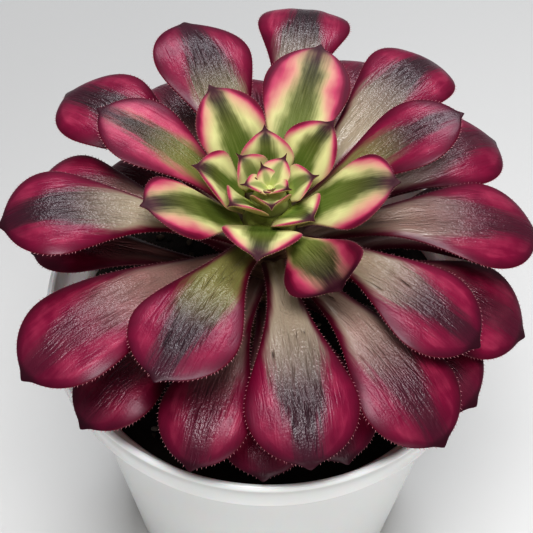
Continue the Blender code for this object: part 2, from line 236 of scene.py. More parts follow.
def spun(name, profile, steps, base=0.0):
    """A profile of (radius, height above base) in mm, drawn corner by corner and spun about the Z axis."""
    profile = [(r * MM, base + z * MM) for r, z in profile]
    piece = added(name, bpy.ops.mesh.primitive_plane_add, size=0.001)
    bpy.ops.object.mode_set(mode="EDIT")
    bpy.ops.mesh.merge(type="CENTER")
    bpy.ops.transform.translate(value=(profile[0][0], 0, profile[0][1]))
    for (r0, z0), (r1, z1) in zip(profile, profile[1:]):
        bpy.ops.mesh.extrude_region_move(TRANSFORM_OT_translate={"value": (r1 - r0, 0, z1 - z0)})
    bpy.ops.mesh.select_all(action="SELECT")
    bpy.ops.mesh.spin(steps=steps, angle=2 * math.pi, center=(0, 0, 0), axis=(0, 0, 1))
    bpy.ops.mesh.select_all(action="SELECT")
    bpy.ops.mesh.remove_doubles(threshold=0.00001)
    bpy.ops.mesh.dissolve_degenerate(threshold=0.000001)
    bpy.ops.mesh.normals_make_consistent(inside=False)
    bpy.ops.object.mode_set(mode="OBJECT")
    bpy.ops.object.shade_smooth_by_angle(angle=SMOOTH_UNDER)
    return piece


def ripple(piece, amount, size, seed, above):
    """Moves the corners above a height up and down by a soft noise."""
    corners = places(piece)
    for corner in corners:
        if corner[2] >= above:
            corner[2] += amount * noise.noise(Vector((corner[0] / size, corner[1] / size, seed)))
    move_corners(piece, corners)


def stands_for(piece, slot, *nodes):
    """The piece rides on the plant's one body, in place of these solids."""
    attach(piece, "root")
    if nodes:
        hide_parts(*nodes)


# ---------------- material helpers
class Recipe:
    """The nodes of one material, added from left to right."""

    def __init__(self, name):
        self.material = bpy.data.materials.new(name)
        self.material.use_nodes = True
        self.tree = self.material.node_tree
        self.shader = self.tree.nodes["Principled BSDF"]

    def node(self, kind, *values, **settings):
        """A node with these settings, and with its first sockets fed in order."""
        made = self.tree.nodes.new("ShaderNode" + kind)
        for name, value in settings.items():
            setattr(made, name, value)
        for socket, value in zip(made.inputs, values):
            self.feed(socket, value)
        return made

    def feed(self, socket, value):
        """Links an output to a socket, or sets the socket's own value."""
        if isinstance(value, bpy.types.NodeSocket):
            self.tree.links.new(value, socket)
        elif socket.type == "RGBA":
            socket.default_value = (*value, 1)
        else:
            socket.default_value = value

    def finish(self, **values):
        """Sets the shader's sockets: base_color feeds Base Color, and so on."""
        for name, value in values.items():
            self.feed(self.shader.inputs[name.replace("_", " ").title().replace("Ior", "IOR")], value)
        return self.material

    def place(self):
        return self.node("TexCoord").outputs["Object"]

    def parts(self, vector):
        """The three numbers of a vector."""
        return self.node("SeparateXYZ", vector).outputs

    def attribute(self, name):
        """The three numbers of a vector attribute."""
        return self.parts(self.node("Attribute", attribute_name=name).outputs["Vector"])

    def vector(self, x, y, z):
        return self.node("CombineXYZ", x, y, z).outputs[0]

    def scaled(self, vector, factors):
        return self.node("VectorMath", vector, factors, operation="MULTIPLY").outputs[0]

    def math(self, operation, *values, clamp=False):
        return self.node("Math", *values, operation=operation, use_clamp=clamp).outputs[0]

    def plus(self, first, second):
        return self.math("ADD", first, second)

    def minus(self, first, second, clamp=False):
        return self.math("SUBTRACT", first, second, clamp=clamp)

    def times(self, first, *others):
        """The product of two or more numbers."""
        for other in others:
            first = self.math("MULTIPLY", first, other)
        return first

    def times_plus(self, value, factor, added, clamp=False):
        return self.math("MULTIPLY_ADD", value, factor, added, clamp=clamp)

    def fade(self, value, start, end, low=0.0, high=1.0):
        """A soft step from low, where value is at start, to high, where it is at end."""
        return self.node("MapRange", value, start, end, low, high, interpolation_type="SMOOTHSTEP").outputs[0]

    def noise(self, vector, scale, detail=2.0, roughness=0.5, distortion=0.0, kind="FBM"):
        made = self.node("TexNoise", vector, noise_type=kind)
        values = {"Scale": scale, "Detail": detail, "Roughness": roughness, "Distortion": distortion}
        for name, value in values.items():
            made.inputs[name].default_value = value
        return made.outputs[0]

    def cells(self, vector, scale):
        """The distance to the nearest of many scattered points."""
        made = self.node("TexVoronoi", vector)
        made.inputs["Scale"].default_value = scale
        return made.outputs["Distance"]

    def blend(self, share, first, second):
        """A number between two numbers."""
        made = self.node("Mix", share, data_type="FLOAT")
        self.feed(made.inputs["A"], first)
        self.feed(made.inputs["B"], second)
        return made.outputs[0]

    def mix(self, share, first, second, how="MIX"):
        """A colour between two colours, through the node's own colour sockets."""
        made = self.node("Mix", share, data_type="RGBA", blend_type=how)
        self.feed(made.inputs[6], first)
        self.feed(made.inputs[7], second)
        return made.outputs[2]

    def ramp(self, value, *stops):
        """Colours along a value: each stop is (place, (red, green, blue))."""
        made = self.node("ValToRGB", value)
        scale = made.color_ramp.elements
        while len(scale) < len(stops):
            scale.new(1.0)
        for element, (at, colour) in zip(scale, stops):
            element.position = at
            element.color = (*colour, 1)
        return made.outputs[0]

    def bump(self, height, distance, strength=1.0):
        made = self.node("Bump", strength, distance)
        self.feed(made.inputs["Height"], height)
        return made.outputs[0]


class LeafRecipe(Recipe):
    """The nodes of the leaf skin, with its place on the leaf and the noises that run lengthwise."""

    def __init__(self, name):
        super().__init__(name)
        self.share, across, self.edge = self.attribute("leaf_place")    # of length, of half breadth, mm
        self.age, tone, self.side = self.attribute("leaf_kind")
        length, breadth, self.from_tip = self.attribute("leaf_mm")
        self.clearness, self.greenness, self.wide = self.attribute("leaf_marks")
        self.grain = self.vector(self.times(length, 0.10), breadth, self.times(tone, 40.0))
        streaks = self.noise(self.scaled(self.grain, (1.0, 0.75, 1.0)), 1.0, detail=3.0)
        self.fibres = self.noise(self.scaled(self.grain, (1.3, 2.6, 1.0)), 1.0, detail=2.0)
        self.clouds = self.noise(self.scaled(self.grain, (1.6, 0.16, 1.0)), 1.0)
        self.streak = self.minus(streaks, 0.5)
        self.patch = self.minus(self.clouds, 0.5)
        self.from_middle = self.math("ABSOLUTE", across)


def side_colour(r, looks):
    """Pale at the root and pink towards the edge and the tip, then burgundy all over as the leaf ages."""
    start = r.blend(r.fade(r.age, 0.15, 0.60), r.fade(r.share, 0.40, 0.95, 1.0, 0.15),
                    r.fade(r.share, 0.10, 0.70, 1.0, 0.20))
    inwards = r.minus(r.times_plus(r.streak, 0.12, r.from_middle), start)
    inwards = r.times_plus(r.patch, 0.35, inwards)
    spread = r.times_plus(inwards, r.fade(r.age, 0.15, 0.6, 0.90, 1.1),
                          r.fade(r.age, 0.15, 0.5, 0.02, 0.13), clamp=True)
    young = r.times_plus(r.fade(r.edge, 2.8, 0.0), r.fade(r.share, 0.30, 0.75, 0.04, 0.42), spread,
                         clamp=True)
    rim = r.minus(1.0, r.math("DIVIDE", r.edge, 3.4), clamp=True)
    old = r.times_plus(rim, 0.30, r.times_plus(r.clouds, 0.32, 0.565))
    old = r.times_plus(r.streak, 0.16, old)
    blush = r.blend(r.fade(r.age, 0.40, 0.95), young, old)
    return r.ramp(blush, (0.0, looks.pale), (0.14, (0.56, 0.46, 0.25)), (0.36, (0.52, 0.24, 0.20)),
                  (0.55, (0.42, 0.060, 0.12)), (0.76, looks.burgundy), (1.0, (0.095, 0.002, 0.022)))


def stripe_share(r):
    """Where the middle stripe lies: about half the breadth, with ragged sides, and clear of the edges."""
    half = r.blend(r.age, r.fade(r.share, 0.1, 0.9, 0.48, 0.26),
                   r.fade(r.share, 0.50, 0.97, 0.52, 0.24))
    half = r.times(half, r.wide)
    soft = r.blend(r.age, 0.22, 0.17)
    ragged = r.times(r.streak, r.fade(r.age, 0.30, 0.90, 0.22, 0.42))
    fibre = r.minus(r.fibres, 0.5)
    out = r.times_plus(fibre, r.fade(r.age, 0.30, 0.90, 0.06, 0.18), r.plus(ragged, r.from_middle))
    out = r.times_plus(r.patch, r.fade(r.age, 0.2, 0.8, 0.40, 0.15), out)
    stripe = r.fade(out, r.plus(half, soft), r.minus(half, soft))
    return r.times(stripe, r.fade(r.times_plus(r.streak, 2.0, r.edge), 0.3, 2.4))


def stripe_colour(r, looks):
    """Green on young leaves, and on old ones nearly black beyond a fawn neck; the pale root and the neck are
    partly painted light.
    """
    # The pale yellow-green at the root is partly the young leaf's own colour and partly painted light,
    # lifting roots that the leaves above shade.
    young = r.ramp(r.share, (0.0, (0.40, 0.47, 0.11)), (0.30, looks.green), (0.64, (0.092, 0.108, 0.020)),
                   (0.86, (0.040, 0.032, 0.020)), (1.0, (0.030, 0.018, 0.024)))
    # The fawn neck is partly the pale wax's own colour and partly painted light, standing in for its sheen
    # and for light under the leaves above.
    neck = r.mix(r.greenness, (0.43, 0.36, 0.28), (0.20, 0.20, 0.060))
    old = r.mix(r.fade(r.share, 0.34, 0.74), neck, (0.055, 0.036, 0.038))
    old = r.mix(r.fade(r.share, 0.60, 0.82), old, looks.stripe)
    return r.mix(r.fade(r.age, 0.2, 0.9), young, old)


def with_dark_parts(r, looks, colour):
    """Lays the dark end, edge and point and the dull underside over a leaf's colour."""
    end = r.mix(r.fade(r.age, 0.2, 0.6), (0.17, 0.020, 0.045), (0.070, 0.006, 0.024))
    colour = r.mix(r.fade(r.share, 0.80, 0.98, 0.0, r.fade(r.age, 0.2, 0.6, 0.35, 0.60)), colour, end)
    rim = r.mix(r.fade(r.age, 0.1, 0.6), (0.32, 0.060, 0.085), (0.11, 0.003, 0.018))
    colour = r.mix(r.fade(r.edge, 0.6, 0.1, 0.0, r.fade(r.age, 0.0, 0.9, 0.18, 0.7)), colour, rim)
    point = r.fade(r.from_tip, r.fade(r.age, 0.0, 0.3, 2.0, 3.0), 0.6)
    colour = r.mix(r.times(point, 0.95), colour, looks.point)
    dull = r.mix(r.fade(r.age, 0.3, 0.9), (0.34, 0.30, 0.11), (0.13, 0.008, 0.024))
    return r.mix(r.times(r.fade(r.side, 0.15, -0.25), 0.8), colour, dull)


def leaf_skin(looks):
    """Waxy skin whose wrinkles and pores follow the leaf and fade out towards its smooth edges, with painted
    shade in the furrows of its crackle.
    """
    r = LeafRecipe("waxy_leaf_skin")
    stripe = stripe_share(r)
    worn = r.fade(r.fibres, 0.35, 0.70, 1.0, 0.93)
    shown = r.times(stripe, r.clearness, worn)
    colour = r.mix(shown, side_colour(r, looks), stripe_colour(r, looks))
    colour = with_dark_parts(r, looks, colour)

    furrows = r.noise(r.scaled(r.grain, (1.7, 1.05, 1.0)), 1.0, detail=3.0, roughness=0.55, distortion=0.6,
                      kind="RIDGED_MULTIFRACTAL")
    pores = r.noise(r.scaled(r.grain, (16.0, 2.2, 1.0)), 1.0, detail=2.0)
    crackle = r.times_plus(pores, 0.45, r.minus(1.0, furrows))
    strength = r.times(r.fade(r.edge, 0.6, 5.0), r.fade(r.age, 0.2, 0.9, 0.15, 1.0),
                       r.fade(r.share, 0.95, 0.70, 0.35, 1.0), r.times_plus(stripe, 0.65, 0.35))
    wrinkled = r.bump(crackle, 0.60 * MM, strength)

    # Painted shade: the colour is darkened along the furrows of the crackle, standing in for shade that falls
    # into the cracks.
    lines = r.times(r.fade(furrows, 0.42, 0.74), r.fade(r.edge, 0.8, 4.0))
    depth = r.times(lines, r.times_plus(stripe, 0.7, 0.3), r.fade(r.age, 0.2, 0.9, 0.15, 0.92))
    colour = r.mix(depth, colour, r.mix(1.0, colour, (0.20, 0.16, 0.16), "MULTIPLY"))
    roughness = r.times_plus(lines, 0.15, r.times_plus(r.clouds, 0.12, looks.roughness))
    roughness = r.plus(roughness, r.fade(r.age, 0.9, 0.2, 0.0, 0.24))
    gloss = r.times(r.fade(r.age, 0.55, 0.95), r.times_plus(stripe, 0.50, 0.14),
                    r.fade(r.share, 0.80, 0.98, 1.0, 0.35))
    return r.finish(base_color=colour, roughness=roughness, normal=wrinkled, specular_ior_level=0.25,
                    coat_weight=gloss, coat_roughness=0.24, coat_normal=wrinkled)


def hair_skin(looks):
    """Pale pink hairs, some of them redder."""
    r = Recipe("pale_leaf_hair")
    tint = r.noise(r.place(), 900.0)
    colour = r.mix(tint, looks.hair, (0.36, 0.13, 0.16))
    return r.finish(base_color=colour, roughness=0.4)


def pot_plastic(looks):
    """Glossy moulded plastic with the faint waviness of a thin wall."""
    r = Recipe("white_pot_plastic")
    where = r.place()
    cloud = r.noise(where, 28.0, detail=2.0)
    colour = r.mix(cloud, looks.colour, tuple(0.96 * c for c in looks.colour))
    specks = r.fade(r.cells(where, 260.0), 0.055, 0.03)
    colour = r.mix(r.times(specks, 0.12), colour, (0.35, 0.30, 0.26))
    wave = r.noise(r.scaled(where, (1.0, 1.0, 0.25)), 70.0, detail=1.0)
    return r.finish(base_color=colour, roughness=r.times_plus(cloud, 0.08, 0.20),
                    normal=r.bump(wave, 0.05 * MM, 0.5), subsurface_weight=0.15, subsurface_scale=0.004)


def potting_soil(looks):
    """Dark and damp, with grit and lumps."""
    r = Recipe("dark_potting_soil")
    where = r.place()
    grit = r.noise(where, 420.0, detail=6.0, roughness=0.7)
    lumps = r.cells(where, 320.0)
    colour = r.mix(grit, looks.colour, tuple(0.25 * c for c in looks.colour))
    height = r.plus(grit, lumps)
    return r.finish(base_color=colour, roughness=0.93, normal=r.bump(height, 0.9 * MM, 0.9))


def soil_grit():
    """Crumbs of bark and of pale pumice: the attribute says how pale each crumb is."""
    r = Recipe("soil_crumb")
    pale, _, _ = r.attribute("crumb_kind")
    speckle = r.noise(r.place(), 1500.0, detail=3.0)
    colour = r.ramp(pale, (0.0, (0.010, 0.006, 0.004)), (0.55, (0.05, 0.028, 0.017)),
                    (0.9, (0.10, 0.07, 0.045)), (1.0, (0.42, 0.38, 0.33)))
    colour = r.mix(speckle, colour, r.mix(1.0, colour, (0.45, 0.42, 0.4), "MULTIPLY"))
    return r.finish(base_color=colour, roughness=0.9, normal=r.bump(speckle, 0.25 * MM, 0.8))


def stem_bark():
    """Brown bark in rings, and green near the top of the stem, partly its own colour and partly painted
    light.
    """
    r = Recipe("stem_bark")
    where = r.place()
    rings = r.noise(r.scaled(where, (0.35, 0.35, 1.6)), 420.0, detail=4.0)
    flakes = r.noise(where, 600.0, detail=5.0)
    colour = r.ramp(rings, (0.25, (0.05, 0.022, 0.014)), (0.55, (0.17, 0.09, 0.05)),
                    (0.85, (0.30, 0.19, 0.12)))
    # The green top is the young stem's own colour, made paler as painted light where the leaves shade it.
    young = r.fade(r.parts(where)[2], POT_TOP + 28 * MM, POT_TOP + 36 * MM)
    colour = r.mix(young, colour, (0.40, 0.44, 0.12))
    rough = r.bump(r.plus(rings, flakes), 0.6 * MM, 0.8)
    return r.finish(base_color=colour, roughness=0.8, normal=rough)


def pale_table(looks):
    """Almost white and matt, with painted shade that makes it greyer towards the back left."""
    r = Recipe("pale_table")
    where = r.place()
    x, y, _ = r.parts(where)
    cloud = r.noise(where, 5.0, detail=3.0)
    colour = r.mix(cloud, looks.floor, tuple(0.96 * c for c in looks.floor))
    # Painted shade: the floor darkens towards the back left, where less light falls on it.
    painted_back_shade = r.fade(r.times_plus(x, -0.5, y), -0.12, 0.30)
    colour = r.mix(painted_back_shade, colour, tuple(0.72 * c for c in looks.floor))
    return r.finish(base_color=colour, roughness=0.6, normal=r.bump(r.noise(where, 300.0), 0.1 * MM, 0.15))


# ---------------- leaves
class LeafForm:
    """The curved middle line of one leaf and its breadth, cupping and thickness along it, all in mm."""

    def __init__(self, k):
        direction = FIRST_DIRECTION - GOLDEN_ANGLE * k + TURNED.get(k, 0)
        self.azimuth = math.radians(direction)
        self.thick = between(THICKNESS, k)
        root_slope, tip_slope = OWN_SLOPES.get(k, (between(ROOT_SLOPE, k), between(TIP_SLOPE, k)))
        root_slope, tip_slope = math.radians(root_slope), math.radians(tip_slope)
        root_z = between(ROOT_RISE, k)
        if k in HEART_LEAVES:
            root_r = between(STEM_RADIUS, root_z) * 0.5
        else:
            root_r = between(STEM_RADIUS, root_z) + 1.5 * GAP + 0.45 * self.thick * math.sin(root_slope)
        droop = 0.0
        if k >= LEAN_DROOP[0][0]:
            droop = between(LEAN_DROOP, k) * math.cos(math.radians(direction - LEAN_TOWARDS))
        tip_z = between(TIP_RISE, k) - droop + HIGHER.get(k, 0)
        tip_r = between(TIP_DISTANCE, k) + LONGER.get(k, 0)
        self.length = math.hypot(tip_r - root_r, tip_z - root_z)
        root_pull, tip_pull = 0.36 * self.length, 0.30 * self.length
        self.curve = np.array((
            (root_r, root_z),
            (root_r + root_pull * math.cos(root_slope), root_z + root_pull * math.sin(root_slope)),
            (tip_r - tip_pull * math.cos(tip_slope), tip_z - tip_pull * math.sin(tip_slope)),
            (tip_r, tip_z),
        ))
        self.half = between(BREADTH, k) / 2 * BROADER.get(k, 1)
        self.broadest = between(BROADEST_AT, k)
        self.root_share = between(ROOT_BREADTH, k)
        self.waist = OWN_WAIST.get(k, between(WAIST, k))
        self.sharp = between(SHARPNESS, k)
        self.cupping = OWN_CUPPING.get(k, between(CUPPING, k))
        self.twist = math.radians(TWISTED.get(k, 0))
        self.rolled = ROLLED_EDGE.get(k, 0.0)
        self.pointed = between(POINTEDNESS, k)
        self.oblique = OBLIQUE.get(k, 0.0)
        if k in OWN_OUTLINE:
            self.broadest, self.root_share, self.sharp, self.pointed = OWN_OUTLINE[k]
        self.spur, self.spur_from = between(SPUR, k), between(SPUR_FROM, k)
        self.channel = between(CHANNEL, k)

    def half_breadth(self, t):
        """Half the breadth at t along the leaf: a narrow root, a broad spoon and a pointed end."""
        rising = self.root_share + (1 - self.root_share) * smooth((t / self.broadest) ** self.waist)
        past = np.clip((t - self.broadest) / (1 - self.broadest), 0, 1)
        falling = np.clip(1 - past ** 2, 0, 1) ** self.sharp * (1 - self.pointed * past ** 12)
        return self.half * np.where(t < self.broadest, rising, falling)

    def half_flesh(self, t, v, rounding):
        """Half the thickness: thinner towards the tip, and round at the edges, where rounding goes to 0."""
        edge = EDGE_THICKNESS / self.thick
        body = (1 - 0.12 * t) * np.minimum(1.0, (1 - t) / 0.25) ** 0.5
        share = edge * rounding ** 0.6 * np.minimum(1.0, (1 - t) / 0.02) ** 0.5
        return 0.5 * self.thick * (share + np.maximum(body - edge, 0) * (1 - np.abs(v) ** 2.2))

    def surface(self, t, v):
        """Points of the middle surface at t along and v across, and the directions along, across and up."""
        a, b, c, d = self.curve
        t1, s1 = t[:, None], 1 - t[:, None]
        on = a * s1 ** 3 + b * (3 * s1 * s1 * t1) + c * (3 * s1 * t1 * t1) + d * t1 ** 3
        run = (b - a) * (3 * s1 * s1) + (c - b) * (6 * s1 * t1) + (d - c) * (3 * t1 * t1)
        run /= np.linalg.norm(run, axis=1)[:, None]
        out = np.array((math.cos(self.azimuth), math.sin(self.azimuth), 0))
        aside = np.array((-out[1], out[0], 0))
        upward = np.array((0, 0, 1))
        along = out * run[:, :1] + upward * run[:, 1:]
        up = upward * run[:, :1] - out * run[:, 1:]
        turned = (self.twist * t ** 1.5)[:, None]
        across = aside * np.cos(turned) + up * np.sin(turned)
        up = up * np.cos(turned) - aside * np.sin(turned)
        half = self.half_breadth(t)
        rise = (0.10 + (self.cupping - 0.10) * np.minimum(1.0, t / 0.6)) * half * v * v
        rise += self.rolled * half * smooth((v - 0.1) / 0.9) * smooth((t - 0.35) / 0.4)
        spur = self.spur * np.clip((t - self.spur_from) / (1 - self.spur_from), 0, 1) ** 2
        place = out * on[:, :1] + upward * (POT_TOP / MM + on[:, 1:])
        ahead = spur + self.oblique * half * v * smooth((t - 0.3) / 0.5)
        place = place + across * (half * v)[:, None] + up * rise[:, None] + along * ahead[:, None]
        return place, along, across, up

    def upright(self, t, v):
        """The direction square to the middle surface, from points a small step apart."""
        step = 0.004
        t0, t1 = np.clip(t - step, 0, 1), np.clip(t + step, 0, 1)
        v0, v1 = np.clip(v - step, -1, 1), np.clip(v + step, -1, 1)
        lengthwise = self.surface(t1, v)[0] - self.surface(t0, v)[0]
        half = np.maximum(self.half_breadth(t), 0.3)[:, None]
        _, _, across, up = self.surface(t, v)
        slope = self.surface(t, v1)[0] - self.surface(t, v0)[0]
        slope += across * (1e-4 * half)     # so that it has a direction even where the leaf has no breadth
        square = np.cross(lengthwise, slope)
        size = np.linalg.norm(square, axis=1)[:, None]
        return np.where(size > 1e-9, square / np.maximum(size, 1e-9), up)


def wrinkles(k, along, across):
    """Height in mm of the soft folds that run along a leaf, for each pair of places in mm."""
    heights = np.zeros(len(along))
    for height, long, broad, seed_step, seed_start in FOLDS:
        seed = seed_step * k + seed_start
        heights += [height * noise.noise(Vector((a / long, b / broad, seed))) for a, b in zip(along, across)]
    return heights


def leaf_blade(name, k, skin):
    """A sphere drawn out along the leaf's middle line, flattened to its flesh and wrinkled."""
    form = LeafForm(k)
    rings = int(min(86, max(40, form.length * 1.15)))
    sides = 2 * int(min(28, max(15, form.half * 2.0)))
    blade = added(name, bpy.ops.mesh.primitive_uv_sphere_add, segments=sides, ring_count=rings, radius=1)
    ball = places(blade)
    around = np.hypot(ball[:, 0], ball[:, 1])
    at_pole = around < 1e-6
    around[at_pole] = 1
    v = np.where(at_pole, 0, ball[:, 0] / around)
    side = np.where(at_pole, 0, ball[:, 1] / around)
    t = 1 - (1 - np.arccos(np.clip(-ball[:, 2], -1, 1)) / math.pi) ** 1.5     # rings lie closer at the tip

    half = form.half_breadth(t)
    flesh = form.half_flesh(t, v, np.abs(side))
    furrow = form.channel * 0.34 * form.thick * np.exp(-(v / 0.36) ** 2) * smooth((1 - t) / 0.5)
    flesh = np.where(side > 0, flesh - furrow * np.abs(side), flesh)
    relief = wrinkles(k, t * form.length, v * half)
    relief *= smooth((1 - np.abs(v)) / 0.35) * smooth((1 - t) / 0.12)
    relief *= min(1.0, form.half / 12) * np.where(side > 0, 1.0, 0.5)
    lift = np.sign(side) * (flesh + relief)
    place = form.surface(t, v)[0] + form.upright(t, v) * lift[:, None]
    move_corners(blade, place * MM)
    bpy.ops.object.shade_smooth()
    mark_leaf(blade, k, form, t, v, side)
    blade.data.materials.append(skin)
    return blade


def mark_leaf(blade, k, form, t, v, side):
    """Writes down for the skin where each corner lies on the leaf, and what is the leaf's own."""
    half = form.half_breadth(t)
    edge = half * (1 - np.abs(v))
    write_attribute(blade, "leaf_place", np.column_stack((t, v * half / form.half, edge)))
    write_attribute(blade, "leaf_mm", np.column_stack((t * form.length, v * half, (1 - t) * form.length)))
    count = np.ones_like(t)
    kind = count * between(COLOUR_AGE, k), count * ((k * 0.618) % 1), side
    write_attribute(blade, "leaf_kind", np.column_stack(kind))
    clearness = OWN_CLEARNESS.get(k, between(STRIPE_CLEARNESS, k))
    marks = clearness, between(GREENNESS, k), STRIPE_BREADTH.get(k, 1.0)
    write_attribute(blade, "leaf_marks", np.outer(count, marks))


def edge_hairs(name, k, hairs, skin):
    """A row of tiny cones along both edges of leaf k, each leaning towards the tip."""
    form = LeafForm(k)
    draw = random.Random(1000 + k)
    fringe = added(name, bpy.ops.mesh.primitive_cone_add, vertices=4, radius1=1, radius2=0, depth=1)
    shape = places(fringe) + (0, 0, 0.5)    # the cone stands on its root
    shares = next(row for below, row in HAIR_SHARES if k < below)
    settings = hairs.spacing, hairs.length, hairs.width
    spacing, length, width = [size / MM * share for size, share in zip(settings, shares)]
    samples = np.linspace(0.06, 0.993, 500)
    copies = []
    for edge in (-1.0, 1.0):
        place, _, _, up = form.surface(samples, np.full_like(samples, edge))
        walked = np.concatenate(((0,), np.cumsum(np.linalg.norm(np.diff(place, axis=0), axis=1))))
        outline = np.gradient(place, axis=0)
        outline /= np.linalg.norm(outline, axis=1)[:, None]
        at = draw.uniform(0, spacing)
        while at < walked[-1]:
            i = int(np.searchsorted(walked, at))
            outward = np.cross(outline[i], up[i]) * edge * -1
            lean = outward + outline[i] * draw.uniform(0.25, 0.8) + up[i] * draw.uniform(-0.25, 0.35)
            turn = Vector(lean).to_track_quat("Z", "Y").to_matrix()
            long = length * draw.uniform(0.6, 1.15)
            size = np.array((width * 0.5, width * 0.5, long + HAIR_ROOT))
            root = place[i] - outward * HAIR_ROOT
            copies.append(((shape * size) @ np.array(turn).T + root) * MM)
            at += spacing * draw.uniform(0.75, 1.3)
    multiply(fringe, copies)
    fringe.data.materials.append(skin)
    return fringe


def whole_leaf(name, k, skins, hairs):
    """A blade with its hairs, as one piece."""
    blade = leaf_blade(name, k, skins[0])
    return joined(name, [blade, edge_hairs(name + "_hairs", k, hairs, skins[1])])


def rosette_skins(scene):
    """The skin of the leaves and that of the hairs, made once."""
    found = bpy.data.materials.get("waxy_leaf_skin"), bpy.data.materials.get("pale_leaf_hair")
    return found if all(found) else (leaf_skin(scene.aeonium_leaves), hair_skin(scene.aeonium_leaves))


# ---------------- settings
def colour_setting(name, description, default):
    """A colour that the user may change."""
    return FloatVectorProperty(name=name, description=description, default=default, size=3, subtype="COLOR",
                               min=0, max=1)


def number_setting(name, description, default, **rest):
    """A number that the user may change."""
    return FloatProperty(name=name, description=description, default=default, **rest)


def length_setting(name, description, default, least):
    """A length that the user may change; its default and its least value are given in mm."""
    return number_setting(name, description, default * MM, min=least * MM, unit="LENGTH", precision=5)


class LeafLooks(PropertyGroup):
    pale: colour_setting("Young side", "Sides of the youngest leaves", (0.63, 0.61, 0.30))
    green: colour_setting("Young stripe", "Middle stripe of the youngest leaves", (0.115, 0.172, 0.030))
    burgundy: colour_setting("Old side", "Sides of the outer leaves", (0.185, 0.006, 0.042))
    stripe: colour_setting("Old stripe", "Middle stripe of the outer leaves", (0.022, 0.008, 0.013))
    point: colour_setting("Point", "Tip of each leaf", (0.040, 0.005, 0.014))
    hair: colour_setting("Hairs", "Hairs on the leaf edges", (0.58, 0.33, 0.34))
    roughness: number_setting("Roughness", "How dull the waxy skin is", 0.30, min=0, max=1)


class HairSizes(PropertyGroup):
    spacing: length_setting("Spacing", "Distance between two hairs", 1.04, 0.2)
    length: length_setting("Length", "Length of a hair on an outer leaf", 0.62, 0.1)
    width: length_setting("Width", "Breadth of a hair at its root", 0.27, 0.05)


class PotSizes(PropertyGroup):
    colour: colour_setting("Colour", "Plastic of the pot", (0.82, 0.82, 0.81))
    wall: length_setting("Wall", "Thickness of the wall", 1.6, 0.5)
    steps: IntProperty(name="Steps", description="Faces round the pot", default=168, min=24)


class SoilSizes(PropertyGroup):
    colour: colour_setting("Colour", "Damp potting soil", (0.026, 0.016, 0.011))
    crumbs: IntProperty(name="Crumbs", description="Loose crumbs on the surface", default=620, min=0)
    largest: length_setting("Largest crumb", "Size of the largest crumbs", 2.6, 0.2)


class StageLooks(PropertyGroup):
    floor: colour_setting("Floor", "Colour of the pale floor", (0.60, 0.592, 0.578))
    key: number_setting("Key light", "Strength of the large soft light overhead, in watts", 5.5, min=0)
    sky: number_setting("Sky", "Strength of the even light from all round", 0.27, min=0)
    distance: number_setting("Camera distance", "From the camera to where it looks", 0.427, min=0.05,
                             unit="LENGTH")
    elevation: number_setting("Camera elevation", "How far the camera looks down", math.radians(52.38),
                              subtype="ANGLE")
    roll: number_setting("Camera roll", "How far the camera leans to its side", math.radians(0.98),
                         subtype="ANGLE")
    lens: number_setting("Lens", "Focal length for a 36 mm sensor", 101.3, min=10, unit="CAMERA")


# ---------------- pieces
def body_radius(z):
    """Outside radius of the pot's tapered body at height z, in mm."""
    return BODY_RADIUS - (POT_TOP / MM - BAND_HEIGHT - z) * math.tan(math.radians(BODY_TAPER))


